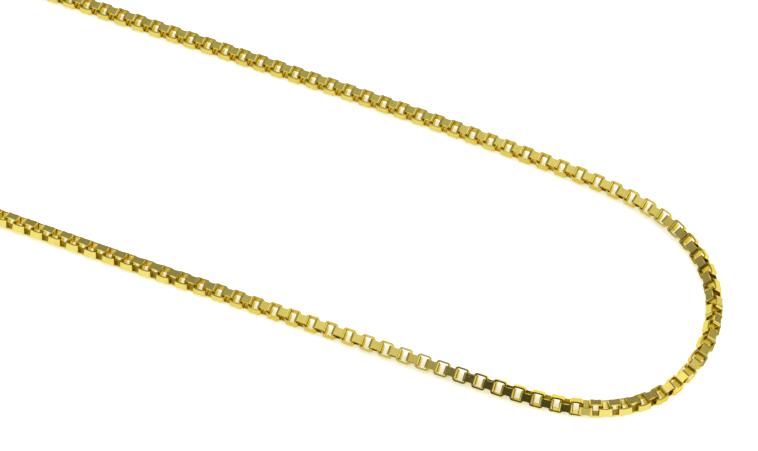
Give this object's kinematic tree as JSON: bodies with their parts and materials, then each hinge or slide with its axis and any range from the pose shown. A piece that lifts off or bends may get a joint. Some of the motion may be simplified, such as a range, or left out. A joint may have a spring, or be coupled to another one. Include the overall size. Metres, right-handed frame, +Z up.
{
  "type": "box chain necklace",
  "caption": "Closed necklace chain of interlocked square box links in yellow gold, laid on a surface as one long loop and fastened with a plain box clasp.",
  "frame": {"origin": "middle of the laid loop's box, on the surface that it lies on", "axes": "+X along the loop to its front bend, +Y across the loop, +Z up from the surface"},
  "size_m": [0.2022, 0.0572, 0.0035],
  "materials": {
    "chain_gold": "polished yellow gold with fine wear",
    "clasp_gold": "polished yellow gold"
  },
  "bodies": {
    "root": {"chain": "chain_gold", "clasp": "clasp_gold"}
  },
  "joints": []
}
